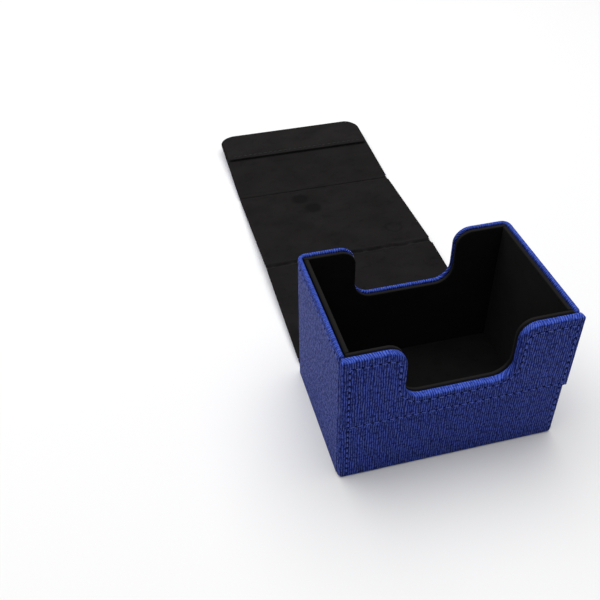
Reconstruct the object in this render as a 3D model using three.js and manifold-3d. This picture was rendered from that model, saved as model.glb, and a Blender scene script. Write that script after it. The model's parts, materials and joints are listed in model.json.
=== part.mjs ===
// Card deck box: an open-topped leather-covered box for a deck of sleeved cards, with a three-panel
// cover hinged along the box's rear bottom edge. The cover lies open on the table behind the box.
//
// Millimetres, +Z up, +Y towards the cover, origin at the centre of the box's underside.
// Walls are grey board wrapped in leather and lined with suede-faced card. The layers that are glued
// together are separate pieces with a thin glue line between them.

import * as THREE from 'three';
import { mergeVertices } from 'three/addons/utils/BufferGeometryUtils.js';
import Module from 'manifold-3d';

const wasm = await Module();
wasm.setup();

// ---- layers ----
const LEATHER = 0.6; // thickness of the covering
const BOARD = 1.2; // grey board in the walls and the cover
const CARD = 1.2; // card behind the lining
const SUEDE = 0.6; // lining
const GLUE = 0.1; // glue line between two layers
const FIT = 0.2; // gap between the lining and the walls, and at the front corners
const HEM = 12; // how far the leather is turned in behind a free edge
const PAST = 1; // how far a cutting shape runs past the surface that it cuts

// ---- box ----
const HEIGHT = 73; // to the rim
const HALF_WIDTH = 52;
const BACK = 36.5; // outer face of the back wall
const FACE = -36.1; // outer face of the front overlay
const BACK_CORNER = 2.9; // radius of the upright rear corners
const UNDERSIDE_CORNER = 3; // radius of the underside's front corners

const BASE_TOP = LEATHER + 1.1; // underside tray: leather, glue and a thin board
const WALL_FOOT = BASE_TOP + GLUE;
const WALL = 2 * LEATHER + 2 * GLUE + BOARD; // leather, board, turned-in leather

// ---- front wall ----
const OVERLAY_HALF_WIDTH = 52.1;
const OVERLAY_FOOT = 33; // the overlay's lower edge, which the flap's pad closes up to
const OVERLAY_BOARD = 0.6;
const OVERLAY_DEPTH = LEATHER + 2 * GLUE + OVERLAY_BOARD;
const BAND_FACE = FACE + OVERLAY_DEPTH + GLUE; // outer face of the band below the overlay
const BAND_BOARD = BAND_FACE + LEATHER + GLUE;
const FRONT_HEM = BAND_BOARD + BOARD + GLUE;
const FRONT_INSIDE = FRONT_HEM + LEATHER;
const SIDE_FRONT_END = FRONT_INSIDE + FIT; // where the side walls start
const BAND_CORNER = 1.8; // radius of the band's lower corners

// ---- thumb notches, alike in the front and back walls ----
const NOTCH_HALF_WIDTH = 24.4;
const NOTCH_FLOOR = 44.8;
const NOTCH_SHOULDER = 8; // rounded over at the rim
const NOTCH_HOLLOW = 8.5; // rounded in at the floor
const SHARP = 0.4; // smallest radius left where an inset uses a rounding up
const ARC_STEPS = 5;

// ---- lining ----
const LINING_WALL = CARD + GLUE + SUEDE;
const LINING_FOOT = WALL_FOOT + BOARD + GLUE;
const LINING_FRONT = SIDE_FRONT_END;
const LINING_BACK = BACK - WALL - FIT;
const LINING_HALF_WIDTH = HALF_WIDTH - WALL - FIT;
const WELL_FRONT = LINING_FRONT + LINING_WALL;
const WELL_BACK = LINING_BACK - LINING_WALL;
const WELL_HALF_WIDTH = LINING_HALF_WIDTH - LINING_WALL;
const FLOOR_CARD = 1;

// ---- stitching ----
const THREAD_WIDTH = 0.5;
const THREAD_DEPTH = 0.3;
const GROOVE_MARGIN = 0.1; // groove wider and deeper than its thread
const OVERLAY_STITCH_TOP = 4.3; // row's distance below the rim
const OVERLAY_STITCH_NOTCH = 2.8;
const OVERLAY_STITCH_SIDE = 3;
const OVERLAY_STITCH_FOOT = 1.5;
const HEM_STITCH = 3; // row's distance below the rim on the side walls
const COVER_STITCH = 3; // row's distance in from the cover's edges

// ---- cover: lengths from pivot to pivot, measured along the outer skin ----
const COVER_HALF_WIDTH = 51;
const COVER_THICKNESS = 2 * LEATHER + 2 * GLUE + BOARD;
const COVER_GAP = 0.3; // between the closed cover and the box
const PIVOT_Y = BACK + COVER_GAP + COVER_THICKNESS;
const BACK_PANEL = HEIGHT + COVER_GAP + COVER_THICKNESS;
const TOP_PANEL = 2 * PIVOT_Y;
const FLAP = 75.2;
const FLAP_CORNER = 10;
const BACK_PANEL_TILT = 2.4; // degrees above level as it lies open
const TOP_PANEL_TILT = -degrees(Math.asin((BACK_PANEL / TOP_PANEL) * Math.sin(radians(BACK_PANEL_TILT))));
const FLAP_TILT = 3.6;
const BASE_SETBACK = 2; // board's distance from the fold at the box
const FOLD_SETBACK = 3; // and from the other two folds

// ---- pad on the flap, which fills the recess below the overlay when closed ----
const PAD_LENGTH = 31.7;
const PAD_TIP_MARGIN = 1.2;
const PAD_HALF_WIDTH = 49.5;
const PAD_CORE = 1.6;
const PAD_CORNER = 8.8;

// ---- magnets ----
const MAGNET_RADIUS = 6;
const MAGNET_THICKNESS = 1;
const MAGNET_X = 32;
const MAGNET_Z = 17;
const MAGNET_STEPS = 32;
const MAGNET_MARGIN = 0.2;

// ---- materials ----
const leatherMaterial = new THREE.MeshStandardMaterial({ color: 0x1d3fae, roughness: 0.45, metalness: 0 });
const suedeMaterial = new THREE.MeshStandardMaterial({ color: 0x222121, roughness: 0.95, metalness: 0 });
const boardMaterial = new THREE.MeshStandardMaterial({ color: 0x8f8a80, roughness: 0.9, metalness: 0 });
const cardMaterial = new THREE.MeshStandardMaterial({ color: 0x3a3a3c, roughness: 0.9, metalness: 0 });
const threadMaterial = new THREE.MeshStandardMaterial({ color: 0x12266b, roughness: 0.7, metalness: 0 });
const magnetMaterial = new THREE.MeshStandardMaterial({ color: 0xb9bbbf, roughness: 0.3, metalness: 1 });

function radians(angle) {
  return (angle * Math.PI) / 180;
}

function degrees(angle) {
  return (angle * 180) / Math.PI;
}

// ---- solids ----

function toManifold(geometry) {
  const bare = geometry.clone();
  bare.deleteAttribute('normal');
  bare.deleteAttribute('uv');
  const merged = mergeVertices(bare);
  const vertProperties = new Float32Array(merged.attributes.position.array);
  const triVerts = new Uint32Array(merged.index.array);
  return new wasm.Manifold(new wasm.Mesh({ numProp: 3, vertProperties, triVerts }));
}

function toGeometry(manifold) {
  const result = manifold.getMesh();
  const geometry = new THREE.BufferGeometry();
  geometry.setAttribute('position', new THREE.BufferAttribute(result.vertProperties, 3));
  geometry.setIndex(new THREE.BufferAttribute(result.triVerts, 1));
  geometry.computeVertexNormals();
  return geometry;
}

function join(...geometries) {
  return toGeometry(geometries.map(toManifold).reduce((whole, piece) => whole.add(piece)));
}

function cut(body, ...tools) {
  return toGeometry(tools.map(toManifold).reduce((rest, tool) => rest.subtract(tool), toManifold(body)));
}

function common(first, second) {
  return toGeometry(toManifold(first).intersect(toManifold(second)));
}

// A block between two values on each axis, given in either order.
function block([x0, x1], [y0, y1], [z0, z1]) {
  const geometry = new THREE.BoxGeometry(Math.abs(x1 - x0), Math.abs(y1 - y0), Math.abs(z1 - z0));
  return geometry.translate((x0 + x1) / 2, (y0 + y1) / 2, (z0 + z1) / 2);
}

// A shape drawn in plan, from z0 up to z1.
function plate(shape, z0, z1) {
  const options = { depth: z1 - z0, bevelEnabled: false, curveSegments: ARC_STEPS };
  return new THREE.ExtrudeGeometry(shape, options).translate(0, 0, z0);
}

// A shape drawn as seen from the front (x across, z up), from y0 back to y1.
function upright(shape, y0, y1) {
  return plate(shape, 0, y1 - y0).rotateX(Math.PI / 2).translate(0, y1, 0);
}

// A rectangle with one radius at its lower corners and one at its upper corners.
function roundedRectangle([x0, x1], [y0, y1], lowerRadius, upperRadius) {
  const shape = new THREE.Shape();
  shape.moveTo(x0, y0 + lowerRadius);
  if (lowerRadius > 0) shape.absarc(x0 + lowerRadius, y0 + lowerRadius, lowerRadius, Math.PI, Math.PI * 1.5);
  shape.lineTo(x1 - lowerRadius, y0);
  if (lowerRadius > 0) shape.absarc(x1 - lowerRadius, y0 + lowerRadius, lowerRadius, -Math.PI / 2, 0);
  shape.lineTo(x1, y1 - upperRadius);
  if (upperRadius > 0) shape.absarc(x1 - upperRadius, y1 - upperRadius, upperRadius, 0, Math.PI / 2);
  shape.lineTo(x0 + upperRadius, y1);
  if (upperRadius > 0) shape.absarc(x0 + upperRadius, y1 - upperRadius, upperRadius, Math.PI / 2, Math.PI);
  return shape;
}

// The outline of a notched wall, seen from the front. The notch is widened and deepened by inset.
function notchedOutline(halfWidth, foot, top, inset, footRadius = 0) {
  const side = NOTCH_HALF_WIDTH + inset;
  const floor = NOTCH_FLOOR - inset;
  const shoulder = Math.max(NOTCH_SHOULDER - inset, SHARP);
  const hollow = NOTCH_HOLLOW + inset;
  const shape = roundedRectangle([-halfWidth, halfWidth], [foot, top], footRadius, 0);
  const points = shape.getPoints(ARC_STEPS);
  const leftTop = points.findIndex((point) => point.x < 0 && point.y === top);
  const notch = new THREE.Path();
  notch.moveTo(side + shoulder, top);
  notch.absarc(side + shoulder, top - shoulder, shoulder, Math.PI / 2, Math.PI);
  notch.absarc(side - hollow, floor + hollow, hollow, 0, -Math.PI / 2, true);
  notch.absarc(hollow - side, floor + hollow, hollow, -Math.PI / 2, -Math.PI, true);
  notch.absarc(-side - shoulder, top - shoulder, shoulder, 0, Math.PI / 2);
  points.splice(leftTop, 0, ...notch.getPoints(ARC_STEPS));
  return new THREE.Shape(points);
}

// A notched wall between y0 and y1.
function notchedSlab(halfWidth, foot, top, inset, y0, y1, footRadius) {
  return upright(notchedOutline(halfWidth, foot, top, inset, footRadius), y0, y1);
}

// A disc standing upright with its axis along Y.
function uprightDisc(radius, x, z, y0, y1) {
  return new THREE.CylinderGeometry(radius, radius, y1 - y0, MAGNET_STEPS).translate(x, (y0 + y1) / 2, z);
}

// A disc lying flat.
function flatDisc(radius, x, y, z0, z1) {
  const disc = new THREE.CylinderGeometry(radius, radius, z1 - z0, MAGNET_STEPS);
  return disc.rotateX(Math.PI / 2).translate(x, y, (z0 + z1) / 2);
}

function part(parent, name, geometry, material) {
  const mesh = new THREE.Mesh(geometry, material);
  mesh.name = name;
  parent.add(mesh);
}

// ---- box: underside ----

function undersidePlan(inset) {
  const across = HALF_WIDTH - inset;
  const frontRadius = UNDERSIDE_CORNER - inset;
  const backRadius = BACK_CORNER - inset;
  return roundedRectangle([-across, across], [BAND_FACE + inset, BACK - inset], frontRadius, backRadius);
}

function addUnderside(box) {
  const tray = plate(undersidePlan(0), 0, BASE_TOP);
  const recess = plate(undersidePlan(LEATHER), LEATHER, BASE_TOP + PAST);
  part(box, 'base_leather', cut(tray, recess), leatherMaterial);
  part(box, 'base_board', plate(undersidePlan(LEATHER + GLUE), LEATHER + GLUE, BASE_TOP), boardMaterial);
  const across = HALF_WIDTH - WALL - GLUE;
  const bottom = block([-across, across], [FRONT_HEM, BACK - WALL - GLUE], [WALL_FOOT, WALL_FOOT + BOARD]);
  part(box, 'bottom_board', bottom, boardMaterial);
}

// ---- box: left, back and right walls ----

// Everything inside the upright rear corners' rounding, for a layer set in from the outside.
function insideCorners(inset) {
  const across = HALF_WIDTH - inset;
  const plan = roundedRectangle([-across, across], [FACE, BACK - inset], 0, BACK_CORNER - inset);
  return plate(plan, 0, HEIGHT);
}

// The two side walls of one layer, inset from the outside and from the free edges.
function sideLayer(outer, inner, frontInset, back, foot, top) {
  return [-1, 1].map((hand) =>
    block(
      [hand * (HALF_WIDTH - outer), hand * (HALF_WIDTH - inner)],
      [SIDE_FRONT_END + frontInset, back],
      [foot, top],
    ),
  );
}

function bodyLeather() {
  const boardPocket = LEATHER + BOARD + 2 * GLUE;
  const walls = join(
    ...sideLayer(0, WALL, 0, BACK, WALL_FOOT, HEIGHT),
    notchedSlab(HALF_WIDTH, WALL_FOOT, HEIGHT, 0, BACK - WALL, BACK),
  );
  const underFoot = WALL_FOOT - PAST;
  const pocketTop = HEIGHT - LEATHER;
  const pockets = [
    ...sideLayer(LEATHER, boardPocket, LEATHER, BACK - LEATHER, underFoot, pocketTop),
    notchedSlab(HALF_WIDTH - LEATHER, underFoot, pocketTop, LEATHER, BACK - boardPocket, BACK - LEATHER),
  ];
  const openInside = [
    ...sideLayer(boardPocket - PAST / 2, WALL + PAST, HEM, BACK - WALL, underFoot, HEIGHT - HEM),
    notchedSlab(HALF_WIDTH - WALL, underFoot, HEIGHT - HEM, HEM, BACK - WALL - PAST, BACK - boardPocket),
  ];
  return common(cut(walls, ...pockets, ...openInside), insideCorners(0));
}

// Straight stitch grooves and threads along the side and back walls' top edge.
function sideStitch(hand, margin) {
  const outside = HALF_WIDTH + (margin > 0 ? PAST : 0);
  const depth = THREAD_DEPTH + margin;
  return block(
    [hand * (HALF_WIDTH - depth), hand * outside],
    [SIDE_FRONT_END + HEM_STITCH - margin, BACK - HEM_STITCH + margin],
    [HEIGHT - HEM_STITCH - THREAD_WIDTH / 2 - margin, HEIGHT - HEM_STITCH + THREAD_WIDTH / 2 + margin],
  );
}

// A band that follows the notched rim at a distance, thread wide.
function backStitch(margin) {
  const reach = margin > 0 ? PAST : 0;
  const half = THREAD_WIDTH / 2 + margin;
  const y0 = BACK - THREAD_DEPTH - margin;
  const y1 = BACK + reach;
  const width = HALF_WIDTH - HEM_STITCH;
  const foot = NOTCH_FLOOR - HEM_STITCH - HEM;
  const outer = notchedSlab(width + margin, foot, HEIGHT - HEM_STITCH + half, HEM_STITCH - half, y0, y1);
  const inner = notchedSlab(
    width + margin + PAST, foot - PAST, HEIGHT - HEM_STITCH - half, HEM_STITCH + half, y0 - PAST, y1 + PAST,
  );
  return cut(outer, inner);
}

function addWalls(box) {
  const grooves = [sideStitch(-1, GROOVE_MARGIN), sideStitch(1, GROOVE_MARGIN), backStitch(GROOVE_MARGIN)];
  part(box, 'body_leather', cut(bodyLeather(), ...grooves), leatherMaterial);

  const skin = LEATHER + GLUE;
  const boardFoot = WALL_FOOT + GLUE;
  const boardTop = HEIGHT - skin;
  const backBoardFront = BACK - skin - BOARD;
  const sides = sideLayer(skin, skin + BOARD, skin, backBoardFront - GLUE, boardFoot, boardTop);
  part(box, 'left_wall_board', sides[0], boardMaterial);
  part(box, 'right_wall_board', sides[1], boardMaterial);
  const backBoard = notchedSlab(HALF_WIDTH - skin, boardFoot, boardTop, skin, backBoardFront, BACK - skin);
  part(box, 'back_wall_board', common(backBoard, insideCorners(skin)), boardMaterial);

  part(box, 'left_wall_thread', sideStitch(-1, 0), threadMaterial);
  part(box, 'right_wall_thread', sideStitch(1, 0), threadMaterial);
  part(box, 'back_wall_thread', backStitch(0), threadMaterial);
}

// ---- box: front wall ----

function overlayLeather() {
  const overlayBack = FACE + OVERLAY_DEPTH;
  const panel = notchedSlab(OVERLAY_HALF_WIDTH, OVERLAY_FOOT, HEIGHT, 0, FACE, overlayBack);
  const turnover = notchedSlab(HALF_WIDTH, NOTCH_FLOOR - HEM, HEIGHT, 0, overlayBack - GLUE, FRONT_INSIDE);
  const overlayPocket = notchedSlab(
    OVERLAY_HALF_WIDTH - LEATHER, OVERLAY_FOOT + LEATHER, HEIGHT - LEATHER, LEATHER,
    FACE + LEATHER, overlayBack,
  );
  const wallPocket = notchedSlab(
    HALF_WIDTH + PAST, NOTCH_FLOOR - HEM - PAST, HEIGHT - LEATHER, LEATHER, overlayBack, FRONT_HEM,
  );
  const openInside = notchedSlab(
    HALF_WIDTH + PAST, NOTCH_FLOOR - HEM - PAST, HEIGHT - HEM, HEM, FRONT_HEM - GLUE, FRONT_INSIDE + PAST,
  );
  const panelBelow = block(
    [-HALF_WIDTH - PAST, HALF_WIDTH + PAST],
    [overlayBack - 2 * GLUE, overlayBack],
    [NOTCH_FLOOR - HEM - PAST, OVERLAY_FOOT],
  );
  return cut(join(panel, turnover), overlayPocket, wallPocket, openInside, panelBelow);
}

// The ring of stitching set in from all the overlay's edges.
function overlayStitch(margin) {
  const half = THREAD_WIDTH / 2 + margin;
  const y0 = FACE - (margin > 0 ? PAST : 0);
  const y1 = FACE + THREAD_DEPTH + margin;
  const band = (offset, front, back) =>
    notchedSlab(
      OVERLAY_HALF_WIDTH - OVERLAY_STITCH_SIDE + offset,
      OVERLAY_FOOT + OVERLAY_STITCH_FOOT - offset,
      HEIGHT - OVERLAY_STITCH_TOP + offset,
      OVERLAY_STITCH_NOTCH - offset,
      front,
      back,
    );
  return cut(band(half, y0, y1), band(-half, y0 - PAST, y1 + PAST));
}

function bandLeather() {
  const top = HEIGHT - LEATHER - GLUE;
  const back = FRONT_HEM;
  const inset = LEATHER + GLUE;
  const wrap = notchedSlab(HALF_WIDTH, WALL_FOOT, top, inset, BAND_FACE, back, BAND_CORNER);
  const pocket = notchedSlab(
    HALF_WIDTH - LEATHER, WALL_FOOT + LEATHER, top + PAST, inset - PAST, BAND_FACE + LEATHER, back + PAST,
    BAND_CORNER - LEATHER,
  );
  return cut(wrap, pocket);
}

function bandBoard() {
  const inset = LEATHER + GLUE;
  const top = HEIGHT - LEATHER - GLUE;
  const wall = notchedSlab(
    HALF_WIDTH - inset, WALL_FOOT + inset, top, inset, BAND_BOARD, BAND_BOARD + BOARD, BAND_CORNER - inset,
  );
  const holeRadius = MAGNET_RADIUS + MAGNET_MARGIN;
  const holes = [-1, 1].map((hand) =>
    uprightDisc(holeRadius, hand * MAGNET_X, MAGNET_Z, BAND_BOARD - PAST, BAND_BOARD + BOARD + PAST),
  );
  return cut(wall, ...holes);
}

function addFront(box) {
  part(box, 'overlay_leather', cut(overlayLeather(), overlayStitch(GROOVE_MARGIN)), leatherMaterial);
  const inset = LEATHER + GLUE;
  const overlayBoard = notchedSlab(
    OVERLAY_HALF_WIDTH - inset, OVERLAY_FOOT + inset, HEIGHT - inset, inset,
    FACE + inset, FACE + inset + OVERLAY_BOARD,
  );
  part(box, 'overlay_board', overlayBoard, boardMaterial);
  part(box, 'overlay_thread', overlayStitch(0), threadMaterial);
  part(box, 'front_wall_leather', bandLeather(), leatherMaterial);
  part(box, 'front_wall_board', bandBoard(), boardMaterial);
  for (const [side, hand] of [['left', -1], ['right', 1]]) {
    const y0 = BAND_BOARD + GLUE;
    const magnet = uprightDisc(MAGNET_RADIUS, hand * MAGNET_X, MAGNET_Z, y0, y0 + MAGNET_THICKNESS);
    part(box, `box_magnet_${side}`, magnet, magnetMaterial);
  }
}

// ---- box: lining ----

// A lining wall is card with suede over its inner face and its top edge.
function addLining(box) {
  const lip = SUEDE + GLUE;
  const walls = [
    { name: 'front', outer: LINING_FRONT, inner: WELL_FRONT },
    { name: 'back', outer: LINING_BACK, inner: WELL_BACK },
  ];
  for (const { name, outer, inner } of walls) {
    const into = Math.sign(inner - outer);
    const span = (a, b) => (a < b ? [a, b] : [b, a]);
    const whole = notchedSlab(LINING_HALF_WIDTH, LINING_FOOT, HEIGHT, 0, ...span(outer, inner));
    const hollow = notchedSlab(
      LINING_HALF_WIDTH + PAST, LINING_FOOT - PAST, HEIGHT - SUEDE, SUEDE,
      ...span(outer - into * PAST, inner - into * SUEDE),
    );
    const card = notchedSlab(
      LINING_HALF_WIDTH, LINING_FOOT, HEIGHT - lip, lip, ...span(outer, outer + into * CARD),
    );
    part(box, `lining_${name}_card`, card, cardMaterial);
    part(box, `lining_${name}_suede`, cut(whole, hollow), suedeMaterial);
  }
  for (const [name, hand] of [['left', -1], ['right', 1]]) {
    const along = [WELL_FRONT + GLUE, WELL_BACK - GLUE];
    const outer = hand * LINING_HALF_WIDTH;
    const inner = hand * WELL_HALF_WIDTH;
    const whole = block([outer, inner], along, [LINING_FOOT, HEIGHT]);
    const hollow = block(
      [outer + hand * PAST, inner + hand * SUEDE],
      [along[0] - PAST, along[1] + PAST],
      [LINING_FOOT - PAST, HEIGHT - SUEDE],
    );
    const card = block([outer, outer - hand * CARD], along, [LINING_FOOT, HEIGHT - lip]);
    part(box, `lining_${name}_card`, card, cardMaterial);
    part(box, `lining_${name}_suede`, cut(whole, hollow), suedeMaterial);
  }
  const across = [-WELL_HALF_WIDTH + GLUE, WELL_HALF_WIDTH - GLUE];
  const along = [WELL_FRONT + GLUE, WELL_BACK - GLUE];
  const cardTop = LINING_FOOT + FLOOR_CARD;
  part(box, 'lining_floor_card', block(across, along, [LINING_FOOT, cardTop]), cardMaterial);
  const suede = block(across, along, [cardTop + GLUE, cardTop + GLUE + SUEDE]);
  part(box, 'lining_floor_suede', suede, suedeMaterial);
}

// ---- cover ----

// A cover panel's plan between two distances from its fold, with rounded corners at the far end.
function panelPlan(from, to, inset, corner = 0) {
  const across = COVER_HALF_WIDTH - inset;
  const end = corner > 0 ? to - inset : to;
  return roundedRectangle([-across, across], [from, end], 0, Math.max(corner - inset, 0));
}

// Leather with its side edges turned up round the board.
function panelLeather(from, to, corner) {
  const rim = LEATHER + GLUE + BOARD;
  const wrap = plate(panelPlan(from, to, 0, corner), 0, rim);
  const far = corner > 0 ? to : to + PAST;
  return cut(wrap, plate(panelPlan(from - PAST, far, LEATHER, corner), LEATHER, rim + PAST));
}

// A straight thread, or its groove, in the leather's outer face along one side of a panel.
function panelStitch(hand, from, to, margin) {
  const x = hand * (COVER_HALF_WIDTH - COVER_STITCH);
  const half = THREAD_WIDTH / 2 + margin;
  const low = margin > 0 ? -PAST : GLUE / 2;
  const high = THREAD_DEPTH + margin;
  return block([x - half, x + half], [from + COVER_STITCH - margin, to - COVER_STITCH + margin], [low, high]);
}

// Thread along the flap's sides and tip as one run.
function flapStitch(from, to, margin) {
  const half = THREAD_WIDTH / 2 + margin;
  const low = margin > 0 ? -PAST : GLUE / 2;
  const high = THREAD_DEPTH + margin;
  const start = from + COVER_STITCH - margin;
  const outer = plate(panelPlan(start, to, COVER_STITCH - half, FLAP_CORNER), low, high);
  const inner = plate(panelPlan(start - PAST, to, COVER_STITCH + half, FLAP_CORNER), low - PAST, high + PAST);
  return cut(outer, inner);
}

function addPanel(panel, name, from, to) {
  const boardFoot = LEATHER + GLUE;
  const suedeFoot = boardFoot + BOARD + GLUE;
  const grooves = [-1, 1].map((hand) => panelStitch(hand, from, to, GROOVE_MARGIN));
  part(panel, `${name}_leather`, cut(panelLeather(from, to, 0), ...grooves), leatherMaterial);
  const board = plate(panelPlan(from, to, LEATHER + GLUE), boardFoot, boardFoot + BOARD);
  part(panel, `${name}_board`, board, boardMaterial);
  part(panel, `${name}_suede`, plate(panelPlan(from, to, 0), suedeFoot, suedeFoot + SUEDE), suedeMaterial);
  part(panel, `${name}_thread_left`, panelStitch(-1, from, to, 0), threadMaterial);
  part(panel, `${name}_thread_right`, panelStitch(1, from, to, 0), threadMaterial);
}

function addFlap(flap) {
  const from = FOLD_SETBACK;
  const boardFoot = LEATHER + GLUE;
  const boardTop = boardFoot + BOARD;
  const suedeFoot = boardTop + GLUE;
  const leather = cut(panelLeather(from, FLAP, FLAP_CORNER), flapStitch(from, FLAP, GROOVE_MARGIN));
  part(flap, 'flap_leather', leather, leatherMaterial);
  part(flap, 'flap_thread', flapStitch(from, FLAP, 0), threadMaterial);
  const board = plate(panelPlan(from, FLAP, LEATHER + GLUE, FLAP_CORNER), boardFoot, boardTop);
  part(flap, 'flap_board', board, boardMaterial);

  // The pad's core is glued to the board, and the flap's suede is stretched over it.
  const padFrom = FLAP - PAD_LENGTH;
  const padTo = FLAP - PAD_TIP_MARGIN;
  const magnetY = BACK_PANEL - MAGNET_Z;
  const coreTop = suedeFoot + PAD_CORE;
  const padPlan = (inset) => {
    const across = PAD_HALF_WIDTH - inset;
    return roundedRectangle([-across, across], [padFrom + inset, padTo - inset], 0, PAD_CORNER - inset);
  };
  const pocketRadius = MAGNET_RADIUS + MAGNET_MARGIN;
  const pocketTop = suedeFoot + MAGNET_THICKNESS + GLUE;
  const pockets = [-1, 1].map((hand) =>
    flatDisc(pocketRadius, hand * MAGNET_X, magnetY, suedeFoot - PAST, pocketTop),
  );
  const core = plate(padPlan(SUEDE + GLUE), suedeFoot, coreTop);
  part(flap, 'pad_core', cut(core, ...pockets), cardMaterial);
  for (const [side, hand] of [['left', -1], ['right', 1]]) {
    const magnet = flatDisc(MAGNET_RADIUS, hand * MAGNET_X, magnetY, suedeFoot, suedeFoot + MAGNET_THICKNESS);
    part(flap, `flap_magnet_${side}`, magnet, magnetMaterial);
  }
  const sheet = plate(panelPlan(from, FLAP, 0, FLAP_CORNER), suedeFoot, suedeFoot + SUEDE);
  const cover = plate(padPlan(0), suedeFoot, coreTop + GLUE + SUEDE);
  const room = plate(padPlan(SUEDE), suedeFoot - PAST, coreTop + GLUE);
  part(flap, 'flap_suede', cut(join(sheet, cover), room), suedeMaterial);
}

// The leather and suede that bridge a fold, lying together between two boards.
function addFold(panel, name, from, to) {
  const across = [-COVER_HALF_WIDTH, COVER_HALF_WIDTH];
  const along = [from + GLUE, to - GLUE];
  part(panel, `${name}_leather`, block(across, along, [0, LEATHER]), leatherMaterial);
  const suedeFoot = LEATHER + GLUE;
  part(panel, `${name}_suede`, block(across, along, [suedeFoot, suedeFoot + SUEDE]), suedeMaterial);
}

// A fold's frame, turned up or down from the panel that it is hung on.
function fold(parent, y, tilt) {
  const frame = new THREE.Group();
  frame.position.set(0, y, 0);
  frame.rotation.x = radians(tilt);
  parent.add(frame);
  return frame;
}

function addCover(box) {
  const foot = fold(box, PIVOT_Y, 0);
  addFold(foot, 'base_fold', BACK - PIVOT_Y, BASE_SETBACK);

  const backPanel = fold(box, PIVOT_Y, BACK_PANEL_TILT);
  addPanel(backPanel, 'back_panel', BASE_SETBACK, BACK_PANEL - FOLD_SETBACK);
  addFold(fold(backPanel, BACK_PANEL, -BACK_PANEL_TILT), 'rear_fold', -FOLD_SETBACK, FOLD_SETBACK);

  const topPanel = fold(backPanel, BACK_PANEL, TOP_PANEL_TILT - BACK_PANEL_TILT);
  addPanel(topPanel, 'top_panel', FOLD_SETBACK, TOP_PANEL - FOLD_SETBACK);
  addFold(fold(topPanel, TOP_PANEL, -TOP_PANEL_TILT), 'front_fold', -FOLD_SETBACK, FOLD_SETBACK);

  const flap = fold(topPanel, TOP_PANEL, FLAP_TILT - TOP_PANEL_TILT);
  addFlap(flap);
}

const group = new THREE.Group();
addUnderside(group);
addWalls(group);
addFront(group);
addLining(group);
addCover(group);

export default group;
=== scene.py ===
"""The looks of a card deck box: a leather-covered box lined with suede, its cover laid open behind it.

Shapes are worked out in millimetres in the CAD frame (X across, Y back, Z up) and scaled to metres when
each mesh is made. A wrapped panel is an outline that is inset ring by ring: over its face, round its rim
and in behind. "depth" is always measured in from the panel's outer face.
"""

import json
import math

import bmesh
import bpy
import numpy as np
from mathutils import Matrix, Vector
from mathutils.geometry import delaunay_2d_cdt


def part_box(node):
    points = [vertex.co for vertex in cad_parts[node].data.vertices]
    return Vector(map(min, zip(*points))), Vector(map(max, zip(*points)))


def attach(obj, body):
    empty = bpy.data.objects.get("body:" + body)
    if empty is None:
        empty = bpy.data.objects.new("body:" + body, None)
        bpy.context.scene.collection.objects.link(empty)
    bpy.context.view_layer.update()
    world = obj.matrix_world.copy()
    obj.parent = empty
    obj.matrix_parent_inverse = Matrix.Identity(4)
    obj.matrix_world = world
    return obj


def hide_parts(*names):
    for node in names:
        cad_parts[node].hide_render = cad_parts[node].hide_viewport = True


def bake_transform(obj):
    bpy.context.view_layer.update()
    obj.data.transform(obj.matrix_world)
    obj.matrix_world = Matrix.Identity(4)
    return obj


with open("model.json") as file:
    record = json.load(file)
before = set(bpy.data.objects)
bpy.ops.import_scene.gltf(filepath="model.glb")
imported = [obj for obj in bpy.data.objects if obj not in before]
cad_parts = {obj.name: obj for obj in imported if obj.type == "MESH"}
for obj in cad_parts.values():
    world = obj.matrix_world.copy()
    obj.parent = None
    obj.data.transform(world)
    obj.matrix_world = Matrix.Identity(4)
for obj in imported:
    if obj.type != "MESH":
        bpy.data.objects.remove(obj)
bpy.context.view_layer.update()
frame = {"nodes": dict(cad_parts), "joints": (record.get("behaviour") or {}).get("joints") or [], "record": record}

# ---- sizes that the CAD nodes give ----
MM = 0.001
X, Y, Z = 0, 1, 2


def low(node, axis):
    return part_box(node)[0][axis] / MM


def high(node, axis):
    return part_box(node)[1][axis] / MM


HEIGHT = high("body_leather", Z)
HALF_WIDTH = high("body_leather", X)
BACK = high("body_leather", Y)
SIDE_FRONT = low("body_leather", Y)
FACE = low("overlay_leather", Y)
FRONT_INSIDE = high("overlay_leather", Y)
OVERLAY_HALF_WIDTH = high("overlay_leather", X)
BAND_FACE = low("front_wall_leather", Y)
BASE_TOP = high("base_leather", Z)
LINING_HALF_WIDTH = high("lining_front_suede", X)
LINING_FOOT = low("lining_front_suede", Z)
LINING_FRONT = low("lining_front_suede", Y)
WELL_FRONT = high("lining_front_suede", Y)
WELL_BACK = low("lining_back_suede", Y)
WELL_HALF_WIDTH = low("lining_right_suede", X)
FLOOR_TOP = high("lining_floor_suede", Z)
COVER_HALF_WIDTH = high("top_panel_leather", X)

# ---- sizes shared with the CAD model that no node's box gives ----
LEATHER = 0.6
SUEDE = 0.6
GLUE = 0.1
WALL = 2.6
OVERLAY_DEPTH = 1.4
HEM = 12.0
UNDERSIDE_CORNER = 3.0
BAND_CORNER = 1.8
NOTCH_HALF_WIDTH = 24.4
NOTCH_FLOOR = 44.8
NOTCH_SHOULDER = 8.0
NOTCH_HOLLOW = 8.5
COVER_THICKNESS = 2.6
BASE_SETBACK = 2.0
FOLD_SETBACK = 3.0
FLAP_LENGTH = 75.2
FLAP_TILT = math.radians(3.6)
FLAP_CORNER = 10.0
PAD_LENGTH = 31.7
PAD_TIP_MARGIN = 1.2
PAD_HALF_WIDTH = 49.5
PAD_CORNER = 8.8
PAD_TOP = 4.3

OVERLAY_FOOT = low("overlay_board", Z) - LEATHER - GLUE
LINING_WALL = WELL_FRONT - LINING_FRONT

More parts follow.
